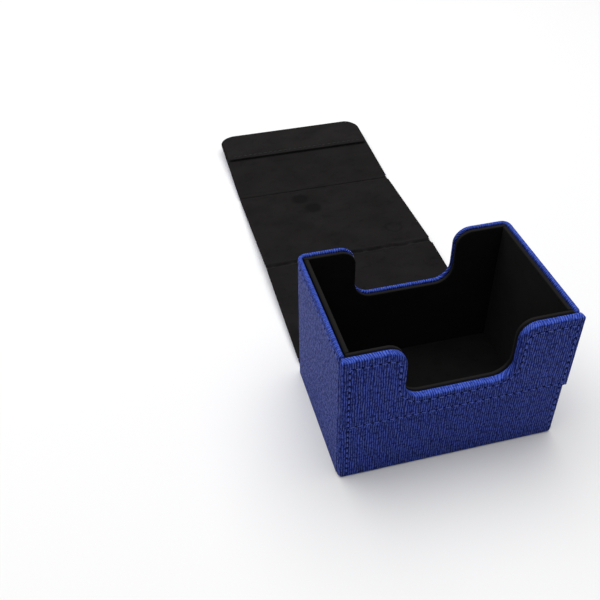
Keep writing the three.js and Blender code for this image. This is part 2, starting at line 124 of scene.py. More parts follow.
# ---- sizes of the drawn pieces alone ----
# The rear corners are rounder here than the CAD model's, and the leather over the side and back rims is
# thinner, which leaves a dark gap beside the lining.
BACK_CORNER = 4.2
WALL_RIM = 2.15
RIM_GAP = 0.25
LINING_DROP = 0.3
BAND_DROP = 1.5
TABLE_GAP = 0.3
COVER_LEATHER_INSET = 0.5
SUEDE_WEB_INSET = 0.3
LINING_RIM = 0.6
LINING_FOOT_RIM = 0.5
FLOOR_RIM = 0.25
BASE_FOLD_TOP = 1.4

# ---- stitching ----
PITCH = 3.6
STITCH_LENGTH = 2.3
STITCH_WIDTH = 0.62
STITCH_RISE = 0.36
HOLE_LENGTH = 1.5
HOLE_WIDTH = 0.95
GROOVE_HALF_WIDTH = 0.6
GROOVE_DEPTH = 0.1
HOLE_DEPTH = 0.45
PUCKER = 0.13
HEM_STITCH_WIDTH = 0.85
STITCH_DIVE = 0.2
HOLE_FLOOR = 0.55
HOLE_SHARPNESS = 4
ROW_REACH = 1.6
CROWDED_STEP = 0.06
# Rings across a groove: place in half widths, and shares of its depth, of the pucker and of a hole.
GROOVE_RINGS = (
    (2.6, 0, -0.2, 0),
    (1.1, 0.1, -1.0, 0.1),
    (0.42, 1, 0, 1),
    (-0.42, 1, 0, 1),
    (-1.1, 0.1, -1.0, 0.1),
)
STITCH_STATIONS = 7
STITCH_SIDES = 8
STITCH_TIP = 0.04
STITCH_END_SHARE = 0.35
STITCH_FLATNESS = 0.6
LOOK_AHEAD = 0.2
UNSTITCHED = 1
OVERLAY_STITCH_TOP = 4.3
OVERLAY_STITCH_NOTCH = 2.8
OVERLAY_STITCH_LEFT = 3.4
OVERLAY_STITCH_RIGHT = 2.4
OVERLAY_STITCH_FOOT = 1.5
BAND_STITCH_LEFT = 3.8
BAND_STITCH_RIGHT = 2.2
HEM_STITCH = 3.0
SIDE_ROW_MARGIN = 2.0
COVER_STITCH = 3.0
COVER_ROW_MARGIN = 1.5
PAD_STITCH = 2.6

# ---- mesh steps ----
RIM_STEP = 0.9
STITCHED_STEP = 0.45
ARC_STEP = 0.75
FILL_STEP = 3.0
RIM_STEPS = 5
RING_GAP = 0.01
SMALLEST_RADIUS = 0.02
TOLERANCE = 1e-6
SMOOTH_ANGLE = math.radians(38)

PIVOTS = {joint["name"]: [value / MM for value in joint["pos_m"]] for joint in frame["joints"]}
BASE_PIVOT = PIVOTS["cover_base_fold"]
REAR_PIVOT = PIVOTS["cover_rear_fold"]
FRONT_PIVOT = PIVOTS["cover_front_fold"]


def span(near, far):
    """A panel's length and tilt, from the pivots at its two ends."""
    along, up = far[Y] - near[Y], far[Z] - near[Z]
    return math.hypot(along, up), math.atan2(up, along)


BACK_PANEL_LENGTH, BACK_PANEL_TILT = span(BASE_PIVOT, REAR_PIVOT)
TOP_PANEL_LENGTH, TOP_PANEL_TILT = span(REAR_PIVOT, FRONT_PIVOT)


# ---- outlines ----


def cross(a, b):
    return a[..., 0] * b[..., 1] - a[..., 1] * b[..., 0]


class Outline:
    """A closed plan of straight edges and rounded corners, anticlockwise.

    Corners are (x, y, radius), and edge i runs from corner i to the next. at() gives the outline moved
    inwards by one distance, or by one distance for each edge, always with the same number of points.
    """

    def __init__(self, corners, step=RIM_STEP):
        corners = np.array(corners, float)
        self.corners, self.radii = corners[:, :2], corners[:, 2]
        ahead = np.roll(self.corners, -1, 0) - self.corners
        lengths = np.linalg.norm(ahead, axis=1)
        self.along = ahead / lengths[:, None]
        self.inward = np.stack([-self.along[:, 1], self.along[:, 0]], 1)
        before = np.roll(self.along, 1, 0)
        self.turn = np.arctan2(cross(before, self.along), (before * self.along).sum(1))
        arcs = np.abs(self.turn) * np.maximum(self.radii, 1.0) / ARC_STEP
        self.arc_counts = np.where(self.radii > 0, np.maximum(4, np.ceil(arcs).astype(int) + 1), 1)
        self.edge_counts = np.maximum(1, np.round(lengths / step).astype(int))

    def each_edge(self, values):
        return np.broadcast_to(np.asarray(values, float), len(self.corners))

    def at(self, insets):
        insets = self.each_edge(insets)
        on_edge = self.corners + self.inward * insets[:, None]
        starts, ends, arcs = [], [], []
        for i in range(len(self.corners)):
            gap = on_edge[i] - on_edge[i - 1]
            reach = cross(gap, self.along[i]) / cross(self.along[i - 1], self.along[i])
            corner = on_edge[i - 1] + self.along[i - 1] * reach
            hand = math.copysign(1, self.turn[i])
            radius = max(self.radii[i] - hand * (insets[i - 1] + insets[i]) / 2, SMALLEST_RADIUS)
            if self.arc_counts[i] == 1:
                radius = 0.0
            tangent = radius * math.tan(abs(self.turn[i]) / 2)
            start = corner - self.along[i - 1] * tangent
            centre = start + self.inward[i - 1] * radius * hand
            arm = start - centre
            beside = np.array([-arm[1], arm[0]])
            angles = np.linspace(0, self.turn[i], self.arc_counts[i])[:, None]
            arcs.append(centre + (arm * np.cos(angles) + beside * np.sin(angles)))
            starts.append(start)
            ends.append(arcs[-1][-1])
        points = []
        for i, count in enumerate(self.edge_counts):
            following = starts[(i + 1) % len(starts)]
            shares = np.arange(1, count)[:, None] / count
            points += [arcs[i], ends[i] + (following - ends[i]) * shares]
        return np.concatenate(points)

    def spread(self, values):
        """One value for each point, from one value for each edge, eased round the corners."""
        values = self.each_edge(values)
        spread = []
        for i, count in enumerate(self.edge_counts):
            shares = np.linspace(0, 1, self.arc_counts[i]) if self.arc_counts[i] > 1 else np.ones(1)
            spread += [values[i - 1] + (values[i] - values[i - 1]) * shares, np.full(count - 1, values[i])]
        return np.concatenate(spread)


def notched(half_width, foot, top, foot_radius, top_radius, sink=0.0, step=RIM_STEP):
    """A wall's outline with its thumb notch. sink lowers and widens the notch."""
    side = NOTCH_HALF_WIDTH + sink
    floor = NOTCH_FLOOR - sink
    shoulder = NOTCH_SHOULDER - sink
    hollow = NOTCH_HOLLOW + sink
    return Outline([
        (-half_width, foot, foot_radius),
        (half_width, foot, foot_radius),
        (half_width, top, top_radius),
        (side, top, shoulder),
        (side, floor, hollow),
        (-side, floor, hollow),
        (-side, top, shoulder),
        (-half_width, top, top_radius),
    ], step)


def by_edge(foot, right, top, notch, left=None):
    """Values for the edges of a notched outline, in its order. The left edge's default is the right's."""
    return np.array([foot, right, top, notch, notch, notch, top, right if left is None else left], float)


def rectangle(x0, x1, y0, y1, near_radius, far_radius, step=RIM_STEP):
    near = [(x0, y0, near_radius), (x1, y0, near_radius)]
    far = [(x1, y1, far_radius), (x0, y1, far_radius)]
    return Outline(near + far, step)


def picks(low_a=-math.inf, high_a=math.inf, low_b=-math.inf, high_b=math.inf):
    """Tells which points of a path have both coordinates in a range."""
    def keep(path):
        a, b = path.T
        return (a > low_a) & (a < high_a) & (b > low_b) & (b < high_b)

    return keep


# ---- meshes ----


def travelled(points, closed):
    """Distance along a path to each of its points, and its whole length."""
    ahead = np.roll(points, -1, 0) if closed else points[1:]
    steps = np.linalg.norm(ahead - points[:len(ahead)], axis=1)
    distance = np.concatenate([[0], np.cumsum(steps)])
    return (distance[:-1] if closed else distance), distance[-1]


def inside(points, boundary):
    """Which points are inside a closed boundary, by counting how often a line from each crosses it."""
    ahead = np.roll(boundary, -1, 0)
    px, py = points[:, 0][:, None], points[:, 1][:, None]
    straddles = (boundary[:, 1] > py) != (ahead[:, 1] > py)
    rise = np.where(ahead[:, 1] == boundary[:, 1], TOLERANCE, ahead[:, 1] - boundary[:, 1])
    crossing = boundary[:, 0] + (py - boundary[:, 1]) / rise * (ahead[:, 0] - boundary[:, 0])
    return (straddles & (px < crossing)).sum(1) % 2 == 1


def filled(boundary, columns=None, rows=None):
    """Grid points inside a boundary, and triangles over the boundary's points followed by those."""
    extra = np.zeros((0, 2))
    if columns is not None:
        grid = np.stack(np.meshgrid(columns, rows), -1).reshape(-1, 2)
        grid = grid[inside(grid, boundary)]
        gaps = np.linalg.norm(grid[:, None] - boundary[None], axis=2).min(1)
        extra = grid[gaps > RIM_STEP]
    edges = [(i, (i + 1) % len(boundary)) for i in range(len(boundary))]
    vectors = [Vector(point) for point in np.concatenate([boundary, extra])]
    _, _, faces, origins, _, _ = delaunay_2d_cdt(vectors, edges, [], 1, TOLERANCE)
    return extra, [[origins[i][0] for i in face] for face in faces]


def grid_lines(start, end, step=FILL_STEP):
    return np.linspace(start, end, max(2, round((end - start) / step) + 1))


def mirrored_lines(half_width, step=FILL_STEP):
    return grid_lines(-half_width, half_width, step)


def make_object(name, points, faces, uvs, material):
    """A mesh object from points in millimetres, with its faces turned outwards."""
    mesh = bpy.data.meshes.new(name)
    mesh.from_pydata([tuple(point) for point in np.asarray(points) * MM], [], faces)
    layer = mesh.uv_layers.new(name="UVMap")
    corner_points = np.zeros(len(mesh.loops), int)
    mesh.loops.foreach_get("vertex_index", corner_points)
    layer.data.foreach_set("uv", np.asarray(uvs, np.float32)[corner_points].ravel())
    work = bmesh.new()
    work.from_mesh(mesh)
    bmesh.ops.dissolve_degenerate(work, edges=work.edges, dist=TOLERANCE)
    bmesh.ops.recalc_face_normals(work, faces=work.faces)
    work.to_mesh(mesh)
    work.free()
    mesh.polygons.foreach_set("use_smooth", [True] * len(mesh.polygons))
    mesh.set_sharp_from_angle(angle=SMOOTH_ANGLE)
    mesh.materials.append(material)
    piece = bpy.data.objects.new(name, mesh)
    bpy.context.collection.objects.link(piece)
    return piece


def place_object(name, points, place, faces, uvs, material):
    return make_object(name, place(*np.asarray(points).T), faces, uvs, material)


def ring_faces(start, rings, count):
    """Faces between neighbouring rings of count points, the first of which begins at index start."""
    faces = []
    for here in range(start, start + (rings - 1) * count, count):
        for i in range(count):
            j = (i + 1) % count
            faces.append([here + i, here + j, here + count + j, here + count + i])
    return faces


def capped_faces(start, rings, count):
    """Ring faces, and a face over each end."""
    last = start + (rings - 1) * count
    caps = [list(range(start, start + count))[::-1], list(range(last, last + count))]
    return ring_faces(start, rings, count) + caps


def no_relief(a, b):
    return np.zeros_like(a)


def wrapped(name, outline, rings, place, material, fill, relief=no_relief, uv_origin=(0, 0), bent=False):
    """A closed skin. rings are (insets, depths) from the rim of the outer face round to the inner face.

    fill is (columns, rows) of the grid that carries relief over the outer face. Relief is a height above
    the face at two outline coordinates. A bent skin has the grid on its inner face too.
    """
    points, uvs = [], []
    unrolled = outline.each_edge(rings[0][0]).copy()
    last = None
    for insets, depths in rings:
        insets = outline.each_edge(insets)
        depths = np.asarray(depths, float)
        by_point = depths if depths.size > len(outline.corners) else outline.spread(depths)
        edge_depth = outline.each_edge(depths.mean() if depths.size > len(outline.corners) else depths)
        if last is not None:
            unrolled = unrolled - np.hypot(insets - last[0], edge_depth - last[1])
        last = (insets, edge_depth)
        flat = outline.at(insets)
        points.append(np.column_stack([flat, by_point]))
        uvs.append(outline.at(unrolled))
    count = len(points[0])
    faces = ring_faces(0, len(rings), count)
    total = count * len(rings)
    for ring, lines, bumps in ((0, fill, relief), (len(rings) - 1, fill if bent else None, no_relief)):
        boundary = points[ring]
        extra, triangles = filled(boundary[:, :2], *(lines or (None, None)))
        numbers = [ring * count + k for k in range(count)] + [total + k for k in range(len(extra))]
        faces += [[numbers[k] for k in face] for face in triangles]
        points.append(np.column_stack([extra, boundary[:, 2].mean() - bumps(*extra.T)]))
        uvs.append(extra)
        total += len(extra)
    uv = np.concatenate(uvs) + np.array(uv_origin)
    return place_object(name, np.concatenate(points), place, faces, uv, material)


def rim(front, back, thickness, hem=None):
    """Rings round a rim, from the outer face to the inner. Values are single or one for each edge.

    With a hem the skin is leather: it turns in behind by that distance and comes back along its inside.
    """
    front, back, thickness = (np.asarray(value, float) for value in (front, back, thickness))
    quarter = np.linspace(0, math.pi / 2, RIM_STEPS + 1)
    rings = [(front * (1 - math.sin(t)), front * (1 - math.cos(t))) for t in quarter]
    rings += [(back * (1 - math.cos(t)), thickness - back * (1 - math.sin(t))) for t in quarter]
    if hem is not None:
        behind = np.maximum(thickness - LEATHER, LEATHER)
        rings += [(hem, thickness), (hem + RING_GAP, behind), (LEATHER, behind),
                  (LEATHER + 2 * RING_GAP, LEATHER)]
    return rings


def stitch_path(outline, centre, keep=None):
    """A row's path at its distance from the edges, its length along itself, and its whole length.

    keep picks the points of an open row. Without it the row runs all the way round.
    """
    path = outline.at(centre)
    if keep is None:
        return path, *travelled(path, True), True
    chosen = keep(path)
    if not chosen.all():
        first = int(np.argmax(chosen & ~np.roll(chosen, 1)))
        path, chosen = np.roll(path, -first, 0), np.roll(chosen, -first)
    path = path[:int(chosen.sum())]
    return path, *travelled(path, False), False


def groove(outline, centre, rows, stitched=1.0, radius=0.0):
    """Rings of a stitch groove. It dips at each needle hole of the rows, and the leather puckers beside it.

    stitched is 1 for each edge that has a row and 0 for the others, where the rings just crowd by the rim.
    """
    stitched = outline.each_edge(stitched)
    centre = np.where(stitched > 0, outline.each_edge(centre), outline.each_edge(radius))
    path = outline.at(centre)
    near_hole = np.zeros(len(path))
    near_row = np.zeros(len(path))
    for row, distance, length, closed in rows:
        pitch = length / max(1, round(length / PITCH))
        gaps = np.linalg.norm(path[:, None] - row[None], axis=2)
        nearest = gaps.argmin(1)
        on_row = np.clip(ROW_REACH - gaps.min(1), 0, 1)
        holes = np.abs(np.cos(math.pi * distance[nearest] / pitch)) ** HOLE_SHARPNESS
        near_hole = np.maximum(near_hole, holes * on_row)
        near_row = np.maximum(near_row, on_row)
    rings = []
    for i, (across, sunk, puckered, dip) in enumerate(GROOVE_RINGS):
        crowded = CROWDED_STEP * (len(GROOVE_RINGS) - i)
        spacing = stitched * across * GROOVE_HALF_WIDTH + (1 - stitched) * crowded
        depth = near_row * (GROOVE_DEPTH * sunk + PUCKER * puckered * (1 - 2 * near_hole))
        rings.append((centre + spacing, depth + HOLE_DEPTH * dip * near_hole))
    return rings


# ---- stitches ----


def sample(path, distance, length, at, closed):
    """Points and unit tangents of a path at distances along it."""
    if closed:
        path = np.concatenate([path, path[:1]])
        distance = np.concatenate([distance, [length]])
        at = np.mod(at, length)

    def points(places):
        return np.stack([np.interp(places, distance, path[:, k]) for k in (0, 1)], 1)

    middle = np.clip(at, LOOK_AHEAD, length - LOOK_AHEAD)
    step = points(middle + LOOK_AHEAD) - points(middle - LOOK_AHEAD)
    return points(at), step / np.linalg.norm(step, axis=1)[:, None]


def capsules(name, row, place, offsets, length, width, depths, material):
    """Small rounded bodies along a row, centred at offsets of its pitch. depths go from end to middle."""
    path, distance, whole, closed = row
    pitch = whole / max(1, round(whole / PITCH))
    stations = np.linspace(-0.5, 0.5, STITCH_STATIONS)
    sides = np.linspace(0, 2 * math.pi, STITCH_SIDES, endpoint=False)
    swell = np.sqrt(np.clip(1 - (2 * stations) ** 2, STITCH_TIP, 1))
    depth = depths[0] + (depths[1] - depths[0]) * swell
    half = width / 2 * (STITCH_END_SHARE + (1 - STITCH_END_SHARE) * swell)
    points, faces, uvs = [], [], []
    for k in offsets(round(whole / pitch)):
        at = k * pitch + stations * length
        here, tangent = sample(path, distance, whole, at, closed)
        across = np.stack([-tangent[:, 1], tangent[:, 0]], 1)
        start = len(points)
        for s in range(len(stations)):
            for side in sides:
                flat = here[s] + across[s] * math.cos(side) * half[s]
                points.append((flat[0], flat[1], depth[s] - math.sin(side) * half[s] * STITCH_FLATNESS))
                uvs.append((at[s], side))
        faces += capped_faces(start, len(stations), len(sides))
    return place_object(name, points, place, faces, uvs, material)


def stitch_row(name, row, place, body, nodes=(), bed=GROOVE_DEPTH, thread=None, width=STITCH_WIDTH,
               holes=True):
    """A row of separate stitches that dive into needle holes. Where the holes can be seen, a near-black body in
    each stands in for its shade: painted shade.
    """
    first = 0 if row[3] else 1
    ends = bed + STITCH_DIVE
    threads = capsules(f"{name}_stitches", row, place, lambda count: np.arange(count) + 0.5,
                       STITCH_LENGTH, width, (ends, ends - STITCH_RISE), thread or THREAD)
    finish_piece(threads, body, "thread", *nodes)
    # A near-black body in each needle hole stands in for the hole's shade: painted shade.
    if holes:
        depths = bed + HOLE_DEPTH, bed + HOLE_DEPTH * HOLE_FLOOR
        hole_shadows = capsules(f"{name}_holes", row, place, lambda count: np.arange(first, count),
                         HOLE_LENGTH, HOLE_WIDTH, depths, HOLE_SHADOW_LOOK)
        finish_piece(hole_shadows, body, "thread")


# ---- materials ----

# The suede's dark and pale shades on the cover, on its pad, on the well's walls and on the well's floor.
SUEDE_SHADES = (0.0046, 0.0041, 0.0041), (0.0174, 0.0159, 0.0158)
PAD_SHADES = (0.0057, 0.0051, 0.0051), (0.0213, 0.0195, 0.0194)
# The well's walls and floor are darker than the cover's suede, the floor darkest: painted shade of the well.
LINING_SHADES_WITH_PAINTED_SHADE = (0.0030, 0.0027, 0.0027), (0.0120, 0.0110, 0.0109)
FLOOR_SHADES_WITH_PAINTED_SHADE = (0.0022, 0.0020, 0.0020), (0.0092, 0.0085, 0.0084)
# A paler colour for the lining's top rim, where it faces up: painted light from above.
LINING_RIM_PAINTED_LIGHT = (0.0135, 0.0125, 0.0120)
# The leather's dark and pale shades. The pale one is whiter than the blue dye: painted glints on the grain's
# ridges, over the grain's real colour.
LEATHER_GRAIN_AND_GLINT_SHADES = (0.001, 0.0045, 0.064), (0.060, 0.103, 0.52)
# A brighter pair for faces that look up, the box's rims: a painted highlight.
RIM_HIGHLIGHT_LEATHER_SHADES = (0.006, 0.022, 0.20), (0.085, 0.155, 0.70)
NICKEL_SHADES = (0.52, 0.52, 0.54), (0.7, 0.7, 0.72)

# Heights of the relief in metres.
LEATHER_RELIEF = 0.00024
NAP_RELIEF = 0.00012
FIBRE_RELIEF = 0.00005
TWIST_RELIEF = 0.00006

# Marks pressed into the top panel's nap: x, distance from its fold, a ring's radius and width, how dark.
PRESSED_MARKS = (
    (-13.6, 67.6, 0.0, 6.9, 0.8),
    (-7.2, 54.8, 0.0, 6.9, 0.8),
    (-17.0, 36.0, 0.0, 7.5, 0.3),
    (34.2, 18.7, 4.8, 1.0, 0.35),
)


class Material:
    """A node material, with short calls to add nodes. Values given as sockets are linked."""

    def __init__(self, name, **settings):
        self.material = bpy.data.materials.new(name)
        self.material.use_nodes = True
        self.tree = self.material.node_tree
        self.shader = self.tree.nodes["Principled BSDF"]
        self.set(self.shader, settings)

    def put(self, value, socket):
        if isinstance(value, bpy.types.NodeSocket):
            self.tree.links.new(value, socket)
        else:
            socket.default_value = value

    def set(self, node, values):
        for key, value in values.items():
            self.put(value, node.inputs[key])

    def add(self, kind, values=None, **settings):
        node = self.tree.nodes.new(kind)
        for key, value in settings.items():
            setattr(node, key, value)
        self.set(node, values or {})
        return node

    def math(self, operation, a, b=0.0, c=0.0):
        node = self.add("ShaderNodeMath", {0: a, 1: b, 2: c}, operation=operation)
        return node.outputs[0]

    def scaled(self, value, factor, plus):
        return self.math("MULTIPLY_ADD", value, factor, plus)

    def mix(self, share, a, b):
        node = self.add("ShaderNodeMix", {"Factor": share}, data_type="RGBA")
        for socket, colour in zip([s for s in node.inputs if s.type == "RGBA"], (a, b)):
            self.put((*colour, 1.0) if isinstance(colour, tuple) else colour, socket)
        return next(s for s in node.outputs if s.type == "RGBA")

    def ease(self, value, start, end):
        node = self.add(
            "ShaderNodeMapRange", {"Value": value, "From Min": start, "From Max": end},
            interpolation_type="SMOOTHSTEP")
        return node.outputs[0]

    def coordinates(self, kind):
        return self.add("ShaderNodeTexCoord").outputs[kind]

    def uv(self, across, along):
        values = {"Vector": self.coordinates("UV"), "Scale": (across, along, 1)}
        return self.add("ShaderNodeMapping", values).outputs[0]

    def upward(self):
        """How far the surface faces up. Only for pieces of the box, which never turns."""
        normal = self.add("ShaderNodeNewGeometry").outputs["Normal"]
        return self.add("ShaderNodeSeparateXYZ", {0: normal}).outputs[2]

    def noise(self, vector, scale=1.0, detail=2.0, roughness=0.5):
        values = {"Vector": vector, "Scale": scale, "Detail": detail, "Roughness": roughness}
        return self.add("ShaderNodeTexNoise", values).outputs[0]

    def bump(self, height, distance, strength):
        values = {"Height": height, "Distance": distance, "Strength": strength}
        self.set(self.shader, {"Normal": self.add("ShaderNodeBump", values).outputs[0]})


def leather_material(name, painted_rim_highlight=False):
    """Blue coated leather, embossed with fine broken lines that run along V, about a millimetre apart.

    For the rims' look, faces that look up, which are the box's rims, get a brighter colour, a painted highlight,
    and a smoother relief as of leather drawn over them.
    """
    made = Material(name)

    def strands(across, along, width):
        """Thin lines where a stretched noise crosses its middle value."""
        wander = made.noise(made.uv(across, along), detail=1, roughness=0.4)
        away = made.math("ABSOLUTE", made.math("SUBTRACT", wander, 0.5))
        return made.ease(away, width, 0.0)

    waves = made.add(
        "ShaderNodeTexWave",
        {"Vector": made.uv(1, 0.34), "Scale": 0.3, "Distortion": 4.8, "Detail": 2.0,
         "Detail Scale": 1.1, "Detail Roughness": 0.5},
        wave_type="BANDS", bands_direction="X").outputs["Fac"]
    breaks = made.ease(made.noise(made.uv(1, 0.5), detail=1), 0.36, 0.6)
    hairs = strands(2.2, 0.5, 0.1)
    pores = made.noise(made.uv(4.4, 3.2), detail=0)
    lines = made.math("MULTIPLY", made.ease(waves, 0.25, 0.75), made.scaled(breaks, 0.7, 0.3))
    height = made.scaled(lines, 0.6, made.math("MULTIPLY", hairs, 0.3))
    height = made.scaled(pores, 0.42, height)
    # Darker in the grain's valleys and paler, whiter on its ridges: the grain's real colour, with painted glints
    # on the ridges.
    colour = made.mix(made.ease(height, 0.2, 1.0), *LEATHER_GRAIN_AND_GLINT_SHADES)
    if painted_rim_highlight:
        # Faces that look up, the box's rims, get a painted highlight: a brighter colour mixed in, and a flatter
        # relief.
        drawn = made.ease(made.upward(), 0.25, 0.85)
        highlighted = made.mix(made.ease(height, 0.1, 0.9), *RIM_HIGHLIGHT_LEATHER_SHADES)
        colour = made.mix(made.math("MULTIPLY", drawn, 0.7), colour, highlighted)
        height = made.math("MULTIPLY", height, made.scaled(drawn, -0.4, 1.0))
    rough = made.scaled(made.ease(height, 0.2, 1.0), -0.38, 0.76)
    made.set(made.shader, {"Base Color": colour, "Roughness": rough, "Specular IOR Level": 0.08})
    made.bump(height, LEATHER_RELIEF, 1.0)
    return made.material


def suede_material(name, shades, marks=(), painted_top_light=None):
    """Short-napped black suede, a little paler where the nap lies towards the light."""
    made = Material(name)
    nap = made.noise(made.uv(2.4, 2.4), detail=4, roughness=0.7)
    patch = made.noise(made.uv(0.05, 0.06))
    rubbed = made.ease(made.noise(made.uv(0.16, 0.2), detail=3, roughness=0.65), 0.36, 0.46)
    tone = made.scaled(patch, 0.45, made.math("MULTIPLY", nap, 0.55))
    tone = made.scaled(rubbed, 0.09, tone)
    tone = made.ease(tone, 0.15, 1.0)
    for x, y, radius, width, depth in marks:
        ends = {0: made.coordinates("UV"), 1: (x, BACK_PANEL_LENGTH + y, 0)}
        away = made.add("ShaderNodeVectorMath", ends, operation="DISTANCE").outputs["Value"]
        edge = made.scaled(nap, 2.4, away)
        edge = made.scaled(patch, 3.0, edge)
        from_line = made.math("ABSOLUTE", made.math("SUBTRACT", edge, 2.7 + radius))
        kept = made.ease(from_line, width * 0.5, width)
        tone = made.math("MULTIPLY", tone, made.scaled(kept, depth, 1 - depth))
    colour = made.mix(tone, *shades)
    # Faces that look up, the lining's top rim, get a paler colour: painted light from above.
    if painted_top_light:
        colour = made.mix(made.ease(made.upward(), 0.35, 0.8), colour, painted_top_light)
    made.set(made.shader, {
        "Base Color": colour, "Roughness": 0.95, "Specular IOR Level": 0.06,
        "Sheen Weight": 0.03, "Sheen Roughness": 0.5, "Sheen Tint": (0.75, 0.74, 0.74, 1.0),
    })
    made.bump(nap, NAP_RELIEF, 0.6)
    return made.material


def board_material(name, dark, pale):
    """Pressed paper board with short fibres and a little speckle."""
    made = Material(name)
    place = made.coordinates("Object")
    stretched = made.add("ShaderNodeMapping", {"Vector": place, "Scale": (900, 2400, 2400)})
    fibre = made.noise(stretched.outputs[0], detail=3)
    speck = made.ease(made.noise(place, scale=1400.0, detail=1), 0.62, 0.72)
    colour = made.mix(made.math("MAXIMUM", fibre, speck), dark, pale)
    made.set(made.shader, {"Base Color": colour, "Roughness": 0.9, "Specular IOR Level": 0.08})
    made.bump(fibre, FIBRE_RELIEF, 0.5)
    return made.material


def thread_material(name, dark, pale, shine=0.3):
    """Twisted thread: the twist shows as slanted strands along each stitch."""
    made = Material(name, Roughness=0.6)
    parts = made.add("ShaderNodeSeparateXYZ", {0: made.coordinates("UV")}).outputs
    phase = made.scaled(parts[0], 7.0, made.math("MULTIPLY", parts[1], 2.0))
    strand = made.scaled(made.math("SINE", phase), 0.5, 0.5)
    made.set(made.shader, {"Base Color": made.mix(strand, dark, pale), "Specular IOR Level": shine})
    made.bump(strand, TWIST_RELIEF, 0.7)
    return made.material


def magnet_material():
    """Nickel plate with faint turning marks."""
    made = Material("nickel", Metallic=1.0)
    scuff = made.noise(made.coordinates("Object"), scale=900.0, detail=3)
    made.set(made.shader, {
        "Base Color": made.mix(scuff, *NICKEL_SHADES),
        "Roughness": made.scaled(scuff, 0.2, 0.2),
    })
    return made.material


LEATHER_LOOK = leather_material("blue_leather")
# The walls' and overlay's leather, with a painted highlight where it faces up.
LEATHER_WITH_RIM_HIGHLIGHT_LOOK = leather_material("blue_rim_leather", painted_rim_highlight=True)
SUEDE_LOOK = suede_material("cover_suede", SUEDE_SHADES)
MARKED_SUEDE_LOOK = suede_material("marked_suede", SUEDE_SHADES, PRESSED_MARKS)
PAD_LOOK = suede_material("pad_suede", PAD_SHADES)
# The well's suede is darker than the cover's: painted shade of the well.
WELL_WALL_LOOK = suede_material("well_wall_suede", LINING_SHADES_WITH_PAINTED_SHADE, painted_top_light=LINING_RIM_PAINTED_LIGHT)
WELL_FLOOR_LOOK = suede_material("well_floor_suede", FLOOR_SHADES_WITH_PAINTED_SHADE)
BOARD_LOOK = board_material("grey_board", (0.20, 0.185, 0.16), (0.34, 0.32, 0.285))
CARD_LOOK = board_material("black_card", (0.005, 0.005, 0.005), (0.012, 0.012, 0.012))
THREAD = thread_material("blue_thread", (0.03, 0.055, 0.30), (0.11, 0.17, 0.72))
# Near-black blue for the bodies in the needle holes: painted shade.
HOLE_SHADOW_LOOK = thread_material("needle_hole_shadow", (0.002, 0.004, 0.030), (0.003, 0.008, 0.055), 0.05)
BLACK_THREAD = thread_material("black_thread", (0.009, 0.009, 0.009), (0.026, 0.025, 0.025))
NICKEL = magnet_material()


def dress_cad_nodes():
    """Gives the layers that stay as CAD solids their materials."""
    looks = {"board": BOARD_LOOK, "card": CARD_LOOK, "magnet": NICKEL}
    for part in frame["record"]["subparts"]:
        look = looks.get(part["material_slot"])
        if look:
            node = frame["nodes"][part["node"]]
            node.data.materials.clear()
            node.data.materials.append(look)


def finish_piece(piece, body, slot, *nodes):
    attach(piece, body)
    if nodes:
        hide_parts(*nodes)


# ---- box: walls, front and underside ----

WALL_STRAIGHT = HALF_WIDTH - BACK_CORNER
WALL_ARC = BACK_CORNER * math.pi / 2
SIDE_START = WALL_STRAIGHT + WALL_ARC
SIDE_END = SIDE_START + (BACK - BACK_CORNER - SIDE_FRONT)

# The back wall's foot is lifted over the fold's leather. The lift fades towards the corners and upwards.
FOOT_LIFT = BASE_FOLD_TOP - TABLE_GAP
LIFT_END = WALL_STRAIGHT - 1
LIFT_TOP = 6.0
LIFT_FADE_ACROSS = 3.0
LIFT_FADE_UP = 5.0


def place_walls(s, z, depth):
    """Bends a flat strip round the left, back and right walls. s is 0 mid-back."""
    hand = np.where(s < 0, -1.0, 1.0)
    reach = np.abs(s)
    angle = np.clip((reach - WALL_STRAIGHT) / BACK_CORNER, 0, math.pi / 2)
    radius = BACK_CORNER - depth
    on_back = np.minimum(reach, WALL_STRAIGHT)
    past = np.maximum(reach - SIDE_START, 0)
    x = hand * (on_back + radius * np.sin(angle))
    y = BACK - BACK_CORNER + radius * np.cos(angle) - past
    across = np.clip((LIFT_END - reach) / LIFT_FADE_ACROSS, 0, 1)
    up = np.clip((LIFT_TOP - z) / LIFT_FADE_UP, 0, 1)
    return np.column_stack([x, y, z + FOOT_LIFT * (across * up)])


def upright(face, hand=1):
    """Places a panel that stands across the box. Its depth runs backwards, or forwards if hand is -1."""
    return lambda x, z, depth: np.column_stack([x, face + hand * depth, z])


def gentle(amount, wave_a, wave_b, phase=0.0):
    """A slow unevenness, as of leather over board."""
    def relief(a, b):
        return amount * (np.sin(a / wave_a + phase) * np.cos(b / wave_b + 1.3 * phase)
                         + 0.5 * np.sin(a / (0.43 * wave_a) + b / (0.61 * wave_b) + phase))

    return relief


